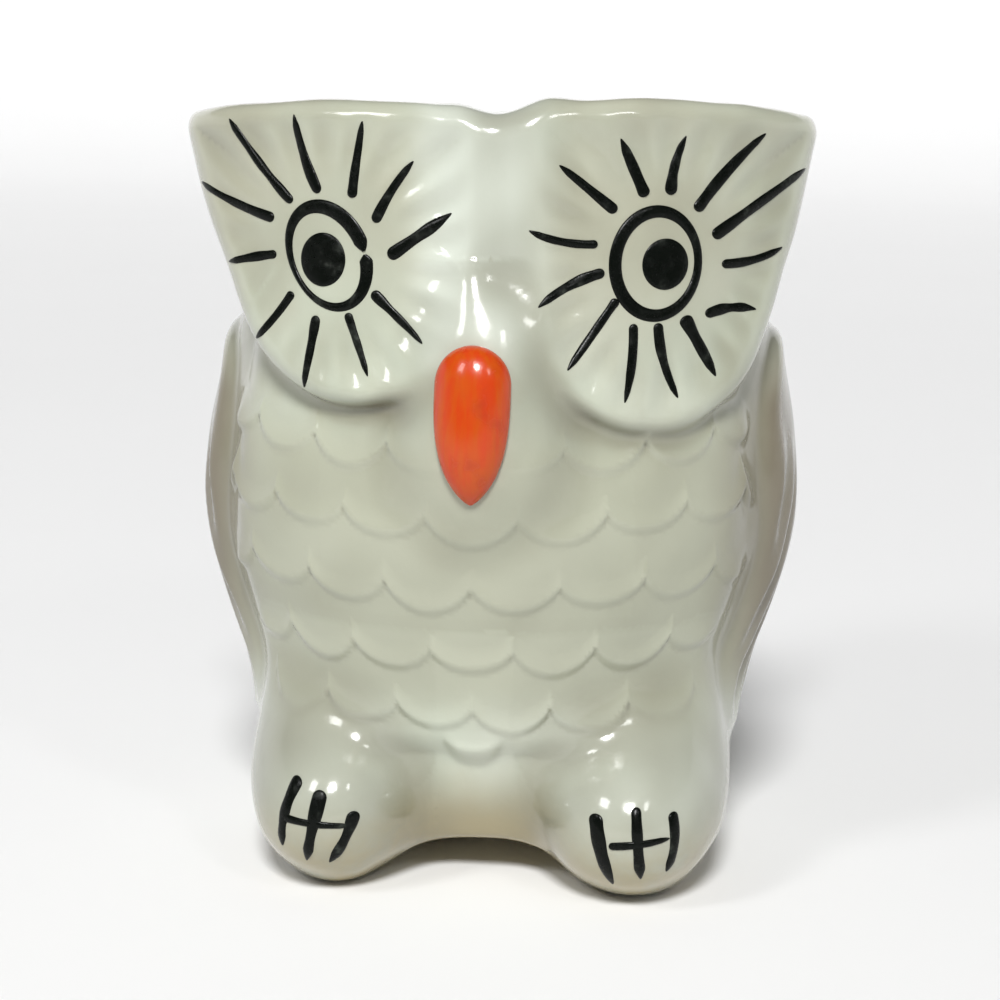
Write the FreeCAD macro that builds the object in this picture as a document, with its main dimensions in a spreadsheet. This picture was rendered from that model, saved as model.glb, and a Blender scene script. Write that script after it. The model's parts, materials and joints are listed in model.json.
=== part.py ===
import FreeCAD, Part
import math
import os
import Sketcher

# Glazed ceramic owl figurine: a hollow casting with its relief and painted details as separate solids.
# Millimetres, +Z up. The owl looks along -Y and its own left side is +X. The origin is on the table, under
# the middle of the figurine's box. "Forward" sizes are measured along -Y from the upright axis through the
# foot ring, which stands a little behind the origin.

doc = FreeCAD.newDocument("OwlFigurine")
sheet = doc.addObject("Spreadsheet::Sheet", "Sizes")

UP = FreeCAD.Vector(0, 0, 1)
FRONT = FreeCAD.Vector(0, -1, 0)
LYING_FORWARD = FreeCAD.Rotation(UP, FRONT)
# Local Y points up and local Z points forward
UPRIGHT = FreeCAD.Rotation(FreeCAD.Vector(1, 0, 0), 90)

SIZES = {
    "axis_back": 3.3,
    # The hollow casting
    "wall": 3.4,
    "floor_level": 5.0,
    "cavity_top": 84.4,
    "recess_radius": 14.5,
    "recess_depth": 1.2,
    "vent_radius": 4.0,
    # The surface that the facial discs are cut from, and the outline of one disc seen from the front
    "mask_half_width": 38.5,
    "mask_depth_low": 37.4,
    "mask_depth_middle": 34.0,
    "mask_depth_top": 31.0,
    "mask_low": 50.0,
    "mask_middle": 70.0,
    "mask_top": 91.0,
    "disc_back": 3.0,
    "disc_thickness": 7.0,
    "disc_reach": 45.0,
    "disc_inner_top_x": 2.0,
    "disc_inner_top_z": 88.0,
    "disc_inner_low_x": 4.2,
    "disc_inner_low_z": 65.0,
    "disc_outer_low_x": 29.0,
    "disc_outer_low_z": 64.0,
    "disc_ear_x": 37.6,
    "disc_ear_z": 88.4,
    "disc_inner_bow": 56.0,
    "disc_lower_bow": 13.0,
    "disc_outer_bow": 139.0,
    "disc_top_bow": 87.0,
    # Ridge between the discs, mound under it and the beak on the mound
    "brow_half_width": 3.0,
    "brow_half_depth": 7.4,
    "brow_half_height": 21.0,
    "brow_forward": 26.0,
    "brow_level": 68.5,
    "mound_half_width": 7.6,
    "mound_half_depth": 6.4,
    "mound_half_height": 8.6,
    "mound_forward": 33.6,
    "mound_level": 52.6,
    "beak_radius": 4.2,
    "beak_forward": 38.4,
    "beak_round_level": 60.6,
    "beak_tip_level": 47.6,
    "beak_side_bow": 21.0,
    # Wings: an outline seen from the side, raised from the body
    "wing_raise": 2.3,
    "wing_reach": 45.0,
    "wing_front_forward": 13.5,
    "wing_front_z": 57.0,
    "wing_back_forward": -17.0,
    "wing_back_z": 54.0,
    "wing_tip_forward": 16.0,
    "wing_tip_z": 16.5,
    "wing_front_bow": 62.0,
    "wing_top_bow": 18.0,
    "wing_back_bow": 34.0,
    # Feet and tail
    "foot_x": 18.3,
    "foot_forward": 24.5,
    "foot_level": 8.5,
    "foot_half_width": 11.0,
    "foot_half_depth": 13.5,
    "foot_half_height": 10.5,
    "tail_forward": -23.0,
    "tail_level": 11.0,
    "tail_half_width": 12.5,
    "tail_half_depth": 13.0,
    "tail_half_height": 17.0,
    # Scallop feathers
    "feather_raise": 1.2,
    "feather_radius": 5.3,
    "feather_reach": 45.0,
    # Painted enamel
    "enamel": 0.35,
    "eye_x": 17.5,
    "eye_level": 72.6,
    "ring_half_width": 6.3,
    "ring_half_height": 7.0,
    "ring_stroke": 1.7,
    "pupil_half_width": 3.1,
    "pupil_half_height": 3.5,
    "lash_gap": 1.0,
    "lash_width": 1.9,
    "lash_tip_width": 0.7,
    "claw_width": 1.7,
    "claw_length": 9.5,
    "claw_bar_length": 9.0,
    "claw_pitch": 3.7,
    "claw_level": 8.8,
}

# Body cross-sections, from the foot ring to the crown: level, half width, half depth, forward shift
BODY_SECTIONS = [
    (0.0, 18.5, 18.4, 0.0),
    (2.0, 22.5, 22.2, 0.3),
    (6.0, 25.8, 25.4, 1.2),
    (14.0, 27.6, 27.4, 2.0),
    (24.0, 29.8, 29.6, 2.6),
    (34.0, 32.6, 32.4, 2.8),
    (44.0, 34.2, 33.6, 2.4),
    (54.0, 33.2, 32.0, 1.6),
    (63.0, 30.4, 30.0, 0.8),
    (74.0, 29.8, 29.4, 0.4),
    (80.0, 28.8, 28.5, 0.2),
    (84.0, 26.6, 26.4, 0.0),
    (86.6, 22.4, 22.2, 0.0),
    (88.0, 16.6, 16.4, 0.0),
    (88.6, 10.4, 10.3, 0.0),
    (88.8, 4.0, 3.9, 0.0),
]
# The body sections that have the cavity inside them, counted from 1
CAVITY_SECTIONS = range(4, 12)

# Breast feathers, top row first: level of the lobe centres, and the lobes counted out from the middle
FEATHER_ROWS = [
    (53.6, [-2.5, -1.5, -0.5, 0.5, 1.5, 2.5]),
    (45.6, [-3, -2, -1, 0, 1, 2, 3]),
    (38.2, [-2.5, -1.5, -0.5, 0.5, 1.5, 2.5]),
    (30.4, [-2, -1, 0, 1, 2]),
    (22.9, [-1.5, -0.5, 0.5, 1.5]),
    (16.4, [-1, 0, 1]),
]
FEATHER_PITCH_ANGLE = 16.5
FEATHER_RISE_PER_SQUARE = 0.55

# Lashes round the left eye: angle from straight out to the side, and length of the stroke
LASHES = [
    (-152, 6.5),
    (-124, 10.0),
    (-100, 9.0),
    (-76, 7.5),
    (-52, 8.0),
    (-20, 6.5),
    (6, 8.5),
    (28, 11.5),
    (47, 11.0),
    (76, 7.5),
    (106, 7.5),
    (134, 8.5),
    (164, 8.0),
]

for row, (alias, value) in enumerate(SIZES.items(), start=1):
    sheet.set(f"A{row}", alias)
    sheet.set(f"B{row}", str(value))
    sheet.setAlias(f"B{row}", alias)
for number, body_section in enumerate(BODY_SECTIONS, start=1):
    for column, name, value in zip("DEFG", ("level", "width", "depth", "forward"), body_section):
        sheet.set(f"{column}{number}", str(value))
        sheet.setAlias(f"{column}{number}", f"body_{name}_{number}")
for number, (level, _) in enumerate(FEATHER_ROWS, start=1):
    sheet.set(f"H{number}", str(level))
    sheet.setAlias(f"H{number}", f"feather_level_{number}")
for number, (_, length) in enumerate(LASHES, start=1):
    sheet.set(f"I{number}", str(length))
    sheet.setAlias(f"I{number}", f"lash_length_{number}")
doc.recompute()


def size(alias):
    """The number in the sheet under this alias."""
    return float(sheet.get(alias))


def make(kind, name, expressions=None, **properties):
    """A document object with its links set and its sizes bound to the sheet."""
    item = doc.addObject(kind, name)
    for prop, value in properties.items():
        setattr(item, prop, value)
    for prop, expression in (expressions or {}).items():
        item.setExpression(prop, expression)
    return item


def section(name, half_width, half_depth, forward, level):
    """One horizontal ellipse, wider than it is deep."""
    return make(
        "Part::Ellipse",
        name,
        {
            "MajorRadius": half_width,
            "MinorRadius": half_depth,
            "Placement.Base.y": f"Sizes.axis_back - ({forward})",
            "Placement.Base.z": level,
        },
    )


def body_form(name, raise_by="0"):
    """The outside of the body, or the same form grown outwards by raise_by."""
    rings = [
        section(
            f"{name}_section_{i}",
            f"Sizes.body_width_{i} + {raise_by}",
            f"Sizes.body_depth_{i} + {raise_by}",
            f"Sizes.body_forward_{i}",
            f"Sizes.body_level_{i}",
        )
        for i in range(1, len(BODY_SECTIONS) + 1)
    ]
    return make("Part::Loft", name, Sections=rings, Solid=True)


def cavity_form():
    """The empty space inside, one wall thickness in from the body."""
    inner = [
        section(
            f"cavity_section_{i}",
            f"Sizes.body_width_{i} - Sizes.wall",
            f"Sizes.body_depth_{i} - Sizes.wall",
            f"Sizes.body_forward_{i}",
            f"Sizes.body_level_{i}",
        )
        for i in CAVITY_SECTIONS
    ]
    low, high = CAVITY_SECTIONS[0], CAVITY_SECTIONS[-1]
    ends = [
        section(
            f"cavity_{name}",
            f"Sizes.body_width_{i} - {inset}",
            f"Sizes.body_depth_{i} - {inset}",
            f"Sizes.body_forward_{i}",
            level,
        )
        for name, i, inset, level in (
            ("floor", low, "2 * Sizes.wall", "Sizes.floor_level"),
            ("crown", high, "3 * Sizes.wall", "Sizes.cavity_top"),
        )
    ]
    return make("Part::Loft", "cavity", Sections=[ends[0], *inner, ends[1]], Solid=True)


def mask_form(name, raise_by="0"):
    """The curved front surface that both facial discs share, widest towards the breast."""
    rings = [
        section(
            f"{name}_{place}",
            f"Sizes.mask_half_width + {raise_by}",
            f"Sizes.mask_depth_{place} + {raise_by}",
            "0",
            f"Sizes.mask_{place}",
        )
        for place in ("low", "middle", "top")
    ]
    return make("Part::Loft", name, Sections=rings, Solid=True)


def skin(name, grown, base):
    """The thin layer between a form and the same form grown outwards."""
    return make("Part::Cut", name, Base=grown, Tool=base)


def arc_between(start, end, radius):
    """The arc of this radius from start to end, turning to the left."""
    middle = (start + end) * 0.5
    chord = end - start
    left = FreeCAD.Vector(-chord.y, chord.x, 0).normalize()
    centre = middle + left * math.sqrt(radius**2 - (chord.Length / 2) ** 2)
    first, last = (math.atan2(p.y - centre.y, p.x - centre.x) for p in (start, end))
    return Part.ArcOfCircle(Part.Circle(centre, UP, radius), first, last)


def outline_body(name, plane, corners, back, reach):
    """A pad whose outline is arcs between corners, each corner given as across, up and the arc after it."""
    padded = doc.addObject("PartDesign::Body", name)
    sketch = padded.newObject("Sketcher::SketchObject", f"{name}_sketch")
    sketch.AttachmentSupport = [(item, "") for item in padded.Origin.OriginFeatures if item.Role == plane]
    sketch.MapMode = "FlatFace"
    sketch.setExpression("AttachmentOffset.Base.z", back)
    points = [FreeCAD.Vector(*(sheet_value(text) for text in corner[:2]), 0) for corner in corners]
    for i, (_, _, radius) in enumerate(corners):
        sketch.addGeometry(arc_between(points[i], points[(i + 1) % len(points)], sheet_value(radius)))
    for i, (across, up, radius) in enumerate(corners):
        sketch.addConstraint(Sketcher.Constraint("Coincident", i, 2, (i + 1) % len(corners), 1))
        for kind, text, target in (
            ("DistanceX", across, (-1, 1, i, 1)),
            ("DistanceY", up, (-1, 1, i, 1)),
            ("Radius", radius, (i,)),
        ):
            number = sketch.addConstraint(Sketcher.Constraint(kind, *target, sheet_value(text)))
            sketch.setExpression(f"Constraints[{number}]", text)
    pad = padded.newObject("PartDesign::Pad", f"{name}_pad")
    pad.Profile = sketch
    pad.setExpression("Length", reach)
    padded.setExpression("Placement.Base.y", "Sizes.axis_back")
    return padded


def sheet_value(expression):
    """The number that a plain sheet expression, with or without a minus sign, stands for."""
    sign = -1 if expression.startswith("-") else 1
    return sign * size(expression.lstrip("-").replace("Sizes.", ""))


def egg(name, half_width, half_depth, half_height, x, forward, level):
    """An ellipsoid with its three half sizes along X, Y and Z."""
    return make(
        "Part::Ellipsoid",
        name,
        {
            "Radius1": half_height,
            "Radius2": half_width,
            "Radius3": half_depth,
            "Placement.Base.x": x,
            "Placement.Base.y": f"Sizes.axis_back - ({forward})",
            "Placement.Base.z": level,
        },
    )


def minus(name, base, *tools):
    """The base with every tool cut away."""
    tool = tools[0] if len(tools) == 1 else make("Part::MultiFuse", f"{name}_tools", Shapes=list(tools))
    return make("Part::Cut", name, Base=base, Tool=tool)


def common(name, *shapes):
    """What all the shapes share."""
    return make("Part::MultiCommon", name, Shapes=list(shapes))


def mirrored(name, source):
    """The owl's right-hand copy of a left-hand piece."""
    return make("Part::Mirroring", name, Source=source, Normal=FreeCAD.Vector(1, 0, 0))


def both_sides(pieces, name, left):
    """Keeps a left-hand piece and its mirror image as two finished nodes."""
    pieces[f"left_{name}"] = left
    pieces[f"right_{name}"] = mirrored(f"right_{name}", left)


def casting():
    """The hollow body and head, with a shallow recess inside the foot ring and a vent through the floor."""
    recess, vent = (
        make(
            "Part::Cylinder",
            name,
            {
                "Radius": f"Sizes.{name}_radius",
                "Height": height,
                "Placement.Base.y": "Sizes.axis_back",
            },
        )
        for name, height in (("recess", "Sizes.recess_depth"), ("vent", "Sizes.floor_level + 1"))
    )
    return minus("body_casting", body, cavity_form(), recess, vent)


def facial_disc():
    """The left facial disc and ear tuft: a thick shield that wraps round the front of the head."""
    outline = outline_body(
        "left_disc_outline",
        "XZ_Plane",
        [
            ("Sizes.disc_inner_top_x", "Sizes.disc_inner_top_z", "Sizes.disc_inner_bow"),
            ("Sizes.disc_inner_low_x", "Sizes.disc_inner_low_z", "Sizes.disc_lower_bow"),
            ("Sizes.disc_outer_low_x", "Sizes.disc_outer_low_z", "Sizes.disc_outer_bow"),
            ("Sizes.disc_ear_x", "Sizes.disc_ear_z", "Sizes.disc_top_bow"),
        ],
        "Sizes.disc_back",
        "Sizes.disc_reach",
    )
    hollow = mask_form("mask_inside", "-1 * Sizes.disc_thickness")
    return minus("left_facial_disc", common("left_disc_block", outline, mask), hollow, body)


def wing():
    """The left folded wing, one thickness proud of the body, with its tip low and forward."""
    outline = outline_body(
        "left_wing_outline",
        "YZ_Plane",
        [
            ("-Sizes.wing_front_forward", "Sizes.wing_front_z", "Sizes.wing_front_bow"),
            ("-Sizes.wing_tip_forward", "Sizes.wing_tip_z", "Sizes.wing_back_bow"),
            ("-Sizes.wing_back_forward", "Sizes.wing_back_z", "Sizes.wing_top_bow"),
        ],
        "0",
        "Sizes.wing_reach",
    )
    raised = skin("wing_skin", body_form("wing_form", "Sizes.wing_raise"), body)
    return minus("left_wing", common("left_wing_block", outline, raised), left_disc, left_foot)


def above_table(name, form):
    """The part of a rounded form that is above the table."""
    block = make(
        "Part::Box",
        f"{name}_block",
        {
            "Length": "4 * Sizes.mask_half_width",
            "Width": "4 * Sizes.mask_half_width",
            "Height": "Sizes.mask_top",
            "Placement.Base.x": "-2 * Sizes.mask_half_width",
            "Placement.Base.y": "-2 * Sizes.mask_half_width",
        },
    )
    return common(name, form, block)


def foot_form(name, raise_by="0"):
    """The left foot's rounded bulb, or the same bulb grown outwards by raise_by."""
    return egg(
        name,
        f"Sizes.foot_half_width + {raise_by}",
        f"Sizes.foot_half_depth + {raise_by}",
        f"Sizes.foot_half_height + {raise_by}",
        "Sizes.foot_x",
        "Sizes.foot_forward",
        "Sizes.foot_level",
    )


def beak_form():
    """The teardrop beak as a turned solid, round at the top and pointed below."""
    turned = doc.addObject("PartDesign::Body", "beak_turned")
    sketch = turned.newObject("Sketcher::SketchObject", "beak_profile")
    sketch.AttachmentSupport = [
        (item, "") for item in turned.Origin.OriginFeatures if item.Role == "YZ_Plane"
    ]
    sketch.MapMode = "FlatFace"
    radius, round_level, tip_level = (
        size(alias) for alias in ("beak_radius", "beak_round_level", "beak_tip_level")
    )
    centre = FreeCAD.Vector(0, round_level, 0)
    top = FreeCAD.Vector(0, round_level + radius, 0)
    side = FreeCAD.Vector(radius, round_level, 0)
    tip = FreeCAD.Vector(0, tip_level, 0)
    sketch.addGeometry(Part.ArcOfCircle(Part.Circle(centre, UP, radius), 0, math.pi / 2))
    sketch.addGeometry(Part.LineSegment(top, tip))
    sketch.addGeometry(arc_between(tip, side, size("beak_side_bow")))
    for first, first_end, second, second_end in ((0, 2, 1, 1), (1, 2, 2, 1), (2, 2, 0, 1)):
        sketch.addConstraint(Sketcher.Constraint("Coincident", first, first_end, second, second_end))
    sketch.addConstraint(Sketcher.Constraint("PointOnObject", 0, 3, -2))
    sketch.addConstraint(Sketcher.Constraint("PointOnObject", 1, 2, -2))
    sketch.addConstraint(Sketcher.Constraint("Vertical", 1))
    sketch.addConstraint(Sketcher.Constraint("Horizontal", 0, 3, 0, 1))
    for kind, target, alias in (
        ("Radius", (0,), "beak_radius"),
        ("DistanceY", (-1, 1, 0, 3), "beak_round_level"),
        ("DistanceY", (-1, 1, 1, 2), "beak_tip_level"),
        ("Radius", (2,), "beak_side_bow"),
    ):
        number = sketch.addConstraint(Sketcher.Constraint(kind, *target, size(alias)))
        sketch.setExpression(f"Constraints[{number}]", f"Sizes.{alias}")
    turn = turned.newObject("PartDesign::Revolution", "beak_turn")
    turn.Profile = sketch
    turn.ReferenceAxis = (sketch, ["V_Axis"])
    turn.Angle = 360
    turned.setExpression("Placement.Base.y", "Sizes.axis_back - Sizes.beak_forward")
    return turned


def feather_row(number):
    """One row of lobes on the breast: round-ended where it shows, hidden under the row above."""
    level, places = FEATHER_ROWS[number - 1]
    lobes = []
    for place in places:
        angle = place * FEATHER_PITCH_ANGLE
        lobe = make(
            "Part::Cylinder",
            f"feather_{number}_lobe_{len(lobes) + 1}",
            {
                "Radius": "Sizes.feather_radius",
                "Height": "Sizes.feather_reach",
                "Placement.Base.y": "Sizes.axis_back",
            },
            Placement=FreeCAD.Placement(FreeCAD.Vector(), FreeCAD.Rotation(UP, angle) * LYING_FORWARD),
        )
        rise = FEATHER_RISE_PER_SQUARE * (angle / FEATHER_PITCH_ANGLE / 2) ** 2
        lobe.setExpression("Placement.Base.z", f"Sizes.feather_level_{number} + {rise}")
        lobes.append(lobe)
    return make("Part::MultiFuse", f"feather_{number}_lobes", Shapes=lobes)


def ellipse_prism(name, half_width, half_height):
    """An upright ellipse round the left eye's centre, carried forward through the mask."""
    outline = make(
        "Part::Ellipse",
        f"{name}_outline",
        {
            "MajorRadius": half_height,
            "MinorRadius": half_width,
            "Placement.Base.x": "Sizes.eye_x",
            "Placement.Base.z": "Sizes.eye_level",
        },
        Placement=FreeCAD.Placement(FreeCAD.Vector(), UPRIGHT * FreeCAD.Rotation(UP, 90)),
    )
    return make(
        "Part::Extrusion",
        name,
        {"LengthFwd": "Sizes.disc_reach"},
        Base=outline,
        DirMode="Custom",
        Dir=FRONT,
        Solid=True,
    )


def stroke(name, width, tip_width, length, reach, placement):
    """One tapered brush stroke along its own Y, carried through its own Z."""
    return make(
        "Part::Wedge",
        name,
        {
            "Xmin": f"-({width}) / 2",
            "Xmax": f"({width}) / 2",
            "X2min": f"-({tip_width}) / 2",
            "X2max": f"({tip_width}) / 2",
            "Ymin": "0",
            "Ymax": length,
            "Zmin": "0",
            "Zmax": reach,
            "Z2min": "0",
            "Z2max": reach,
        },
        Placement=placement,
    )


def lash_strokes():
    """All the lashes round the left eye, each starting just outside the ring."""
    strokes = []
    for number, (angle, _) in enumerate(LASHES, start=1):
        outward = math.radians(angle)
        start = FreeCAD.Vector(
            size("eye_x") + (size("ring_half_width") + size("lash_gap")) * math.cos(outward),
            0,
            size("eye_level") + (size("ring_half_height") + size("lash_gap")) * math.sin(outward),
        )
        turn = FreeCAD.Rotation(FRONT, angle - 90) * UPRIGHT
        strokes.append(
            stroke(
                f"lash_{number}",
                "Sizes.lash_width",
                "Sizes.lash_tip_width",
                f"Sizes.lash_length_{number}",
                "Sizes.disc_reach",
                FreeCAD.Placement(start, turn),
            )
        )
    return make("Part::MultiFuse", "lash_strokes", Shapes=strokes)


def claw_strokes():
    """Three claw strokes across the left foot and the bar that joins them."""
    strokes = []
    for number, place in enumerate((-1, 0, 1), start=1):
        start = FreeCAD.Vector(
            size("foot_x") + place * size("claw_pitch"),
            size("axis_back") - size("foot_forward"),
            size("claw_level") - size("claw_length") / 2,
        )
        strokes.append(
            stroke(
                f"claw_{number}",
                "Sizes.claw_width",
                "Sizes.claw_width",
                "Sizes.claw_length",
                "Sizes.disc_reach",
                FreeCAD.Placement(start, UPRIGHT),
            )
        )
    bar_start = FreeCAD.Vector(
        size("foot_x") - size("claw_bar_length") / 2,
        size("axis_back") - size("foot_forward"),
        size("claw_level"),
    )
    strokes.append(
        stroke(
            "claw_bar",
            "Sizes.claw_width",
            "Sizes.claw_width",
            "Sizes.claw_bar_length",
            "Sizes.disc_reach",
            FreeCAD.Placement(bar_start, FreeCAD.Rotation(FRONT, -90) * UPRIGHT),
        )
    )
    return make("Part::MultiFuse", "claw_strokes", Shapes=strokes)


pieces = {}
body = body_form("body_outside")
mask = mask_form("mask")
pieces["body_casting"] = casting()

left_disc = facial_disc()
both_sides(pieces, "facial_disc", left_disc)
right_disc = pieces["right_facial_disc"]

foot_bulb = foot_form("foot_bulb")
left_foot = minus("left_foot", above_table("left_foot_standing", foot_bulb), body)
both_sides(pieces, "foot", left_foot)
right_foot = pieces["right_foot"]

both_sides(pieces, "wing", wing())

brow_egg = egg(
    "brow_egg",
    "Sizes.brow_half_width",
    "Sizes.brow_half_depth",
    "Sizes.brow_half_height",
    "0",
    "Sizes.brow_forward",
    "Sizes.brow_level",
)
mound_egg = egg(
    "mound_egg",
    "Sizes.mound_half_width",
    "Sizes.mound_half_depth",
    "Sizes.mound_half_height",
    "0",
    "Sizes.mound_forward",
    "Sizes.mound_level",
)
mound = minus("beak_mound", mound_egg, body, left_disc, right_disc)
pieces["beak_mound"] = mound
brow = minus("brow_ridge", brow_egg, body, left_disc, right_disc, mound)
pieces["brow_ridge"] = brow
pieces["beak"] = minus("beak", beak_form(), mound, brow, body)

tail_egg = egg(
    "tail_egg",
    "Sizes.tail_half_width",
    "Sizes.tail_half_depth",
    "Sizes.tail_half_height",
    "0",
    "Sizes.tail_forward",
    "Sizes.tail_level",
)
pieces["tail"] = minus("tail", above_table("tail_standing", tail_egg), body)

feather_skin = skin("feather_skin", body_form("feather_form", "Sizes.feather_raise"), body)
rows = [feather_row(number) for number in range(1, len(FEATHER_ROWS) + 1)]
neighbours = [left_disc, right_disc, left_foot, right_foot, mound]
neighbours += [pieces["left_wing"], pieces["right_wing"], pieces["beak"]]
for number, lobes in enumerate(rows, start=1):
    name = f"breast_feather_row_{number}"
    row_above = rows[number - 2 : number - 1] if number > 1 else []
    raised_lobes = common(f"{name}_raised", lobes, feather_skin)
    pieces[name] = minus(name, raised_lobes, *row_above, *neighbours)

face_enamel = skin("face_enamel", mask_form("face_enamel_form", "Sizes.enamel"), mask)
ring_outside = ellipse_prism("ring_outside", "Sizes.ring_half_width", "Sizes.ring_half_height")
ring_inside = ellipse_prism(
    "ring_inside",
    "Sizes.ring_half_width - Sizes.ring_stroke",
    "Sizes.ring_half_height - Sizes.ring_stroke",
)
pupil_prism = ellipse_prism("pupil_prism", "Sizes.pupil_half_width", "Sizes.pupil_half_height")
ring_layer = common("ring_layer", ring_outside, face_enamel)
both_sides(pieces, "eye_ring", minus("left_eye_ring", ring_layer, ring_inside))
both_sides(pieces, "pupil", common("left_pupil", pupil_prism, face_enamel))
both_sides(pieces, "lashes", common("left_lashes", lash_strokes(), face_enamel))

foot_enamel = skin("foot_enamel", foot_form("foot_enamel_form", "Sizes.enamel"), foot_bulb)
both_sides(pieces, "claw_marks", common("left_claw_marks", claw_strokes(), foot_enamel))

doc.recompute()

for item in doc.Objects:
    faults = {"Invalid", "Error"} & set(item.State)
    if faults:
        raise RuntimeError(f"{item.Name} is {faults}")
os.makedirs("parts", exist_ok=True)
for name, piece in pieces.items():
    piece.Label = name
    shape = piece.Shape
    if shape.isNull() or not shape.isValid() or shape.Volume <= 0:
        raise RuntimeError(f"{name} has no valid solid")
    shape.exportStep(f"parts/{name}.step")
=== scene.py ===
import json
import math
from functools import partial

import bpy
import numpy as np
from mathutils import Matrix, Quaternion, Vector


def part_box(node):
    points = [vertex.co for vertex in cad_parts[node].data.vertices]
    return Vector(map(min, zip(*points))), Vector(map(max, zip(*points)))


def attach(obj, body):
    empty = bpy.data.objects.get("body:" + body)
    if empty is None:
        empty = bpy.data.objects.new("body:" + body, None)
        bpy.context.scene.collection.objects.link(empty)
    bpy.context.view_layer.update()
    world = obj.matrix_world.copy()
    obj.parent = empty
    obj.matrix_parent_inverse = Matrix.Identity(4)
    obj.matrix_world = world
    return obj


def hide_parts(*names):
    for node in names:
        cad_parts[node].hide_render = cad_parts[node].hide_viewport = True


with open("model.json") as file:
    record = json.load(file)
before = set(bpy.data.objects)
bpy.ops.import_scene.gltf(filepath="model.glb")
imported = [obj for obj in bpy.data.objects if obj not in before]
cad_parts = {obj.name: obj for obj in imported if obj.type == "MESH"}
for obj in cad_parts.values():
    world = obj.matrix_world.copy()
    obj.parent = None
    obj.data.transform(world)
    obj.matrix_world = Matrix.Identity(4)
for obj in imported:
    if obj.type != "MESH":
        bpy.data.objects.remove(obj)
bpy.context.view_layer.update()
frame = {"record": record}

# The owl is sculpted as one distance field in millimetres, measured from the upright axis through its foot
# ring: x to the owl's left, y to its back, z up. The field is cut into the same pieces as the CAD nodes.
MM = 0.001
AXIS_Y = frame["record"]["mounts"][0]["pos_m"][1] / MM
CELL = 0.5
SEED = 7
SIDES = {"left": 1, "right": -1}

# ---------------------------------------------------------------- distance fields


def smooth_join(a, b, width):
    """The nearer of two fields, blended over width millimetres."""
    share = np.clip(0.5 + 0.5 * (b - a) / width, 0, 1)
    return b + (a - b) * share - width * share * (1 - share)


def smooth_meet(a, b, width):
    """The space inside both fields, with the edge blended over width millimetres."""
    return -smooth_join(-a, -b, width)


def smooth_peak(a, b, width):
    """The higher of two heights, blended."""
    return -smooth_join(-a, -b, width)


def rounded_meet(a, b, radius):
    """The space inside both fields, with an exact round edge."""
    over_a, over_b = a + radius, b + radius
    inside = np.minimum(np.maximum(over_a, over_b), 0)
    return inside + np.hypot(np.maximum(over_a, 0), np.maximum(over_b, 0)) - radius


def smooth_step(value, low, high):
    """0 below low, 1 above high, and an even slope between."""
    share = np.clip((value - low) / (high - low), 0, 1)
    return share * share * (3 - 2 * share)


def curve_through(places, values):
    """A natural cubic curve through the given points, as a function."""
    x, y = np.array(places, float), np.array(values, float)
    gaps = np.diff(x)
    slopes = np.diff(y) / gaps
    count = len(x)
    system = np.eye(count)
    right = np.zeros(count)
    for i in range(1, count - 1):
        system[i, i - 1 : i + 2] = gaps[i - 1], 2 * (gaps[i - 1] + gaps[i]), gaps[i]
        right[i] = 6 * (slopes[i] - slopes[i - 1])
    bend = np.linalg.solve(system, right)

    def at(value):
        i = np.clip(np.searchsorted(x, value) - 1, 0, count - 2)
        along = np.clip(value, x[0], x[-1]) - x[i]
        first = slopes[i] - gaps[i] * (2 * bend[i] + bend[i + 1]) / 6
        third = (bend[i + 1] - bend[i]) / (6 * gaps[i])
        return y[i] + along * (first + along * (bend[i] / 2 + along * third))

    return at


def egg(p, centre, half):
    """Distance to an ellipsoid, close to exact near its surface."""
    q = (p - np.array(centre)) / np.array(half)
    size = np.sqrt((q * q).sum(1)) + 1e-6
    slope = np.sqrt(((q / np.array(half)) ** 2).sum(1)) + 1e-6 / min(half)
    return (size - 1) * size / slope


def beyond_side(across, up, start, end, bow):
    """Distance beyond one side of an anticlockwise outline that bows out by bow millimetres."""
    start, end = np.array(start), np.array(end)
    chord = np.linalg.norm(end - start)
    along = (end - start) / chord
    radius = (chord**2 / 4 + bow**2) / (2 * bow)
    centre = (start + end) / 2 + np.array([along[1], -along[0]]) * (bow - radius)
    return np.hypot(across - centre[0], up - centre[1]) - radius


def touching_point(centre, radius, point, turn):
    """Where a line from point touches a circle, on its anticlockwise (1) or clockwise (-1) side."""
    across, up = point[0] - centre[0], point[1] - centre[1]
    angle = math.atan2(up, across) + turn * math.acos(radius / math.hypot(across, up))
    return centre[0] + radius * math.cos(angle), centre[1] + radius * math.sin(angle)


def teardrop(across, up, big, big_radius, small, small_radius):
    """Distance to the outline drawn round two circles, and the place along and across their line."""
    length = math.dist(big, small)
    axis = (small[0] - big[0]) / length, (small[1] - big[1]) / length
    along = (across - big[0]) * axis[0] + (up - big[1]) * axis[1]
    aside = (across - big[0]) * axis[1] - (up - big[1]) * axis[0]
    taper = (big_radius - small_radius) / length
    lean = math.sqrt(1 - taper**2)
    place = lean * along - taper * np.abs(aside)
    distance = lean * np.abs(aside) + taper * along - big_radius
    distance = np.where(place < 0, np.hypot(aside, along) - big_radius, distance)
    distance = np.where(place > lean * length, np.hypot(aside, along - length) - small_radius, distance)
    return distance, along, aside


def turned(p, degrees):
    """The points as seen by a form that has been turned about the upright axis."""
    c, s = math.cos(math.radians(degrees)), math.sin(math.radians(degrees))
    return np.column_stack([c * p[:, 0] + s * p[:, 1], c * p[:, 1] - s * p[:, 0], p[:, 2]])


# ---------------------------------------------------------------- the owl's forms

HEAD_TURN = 4.5
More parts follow.
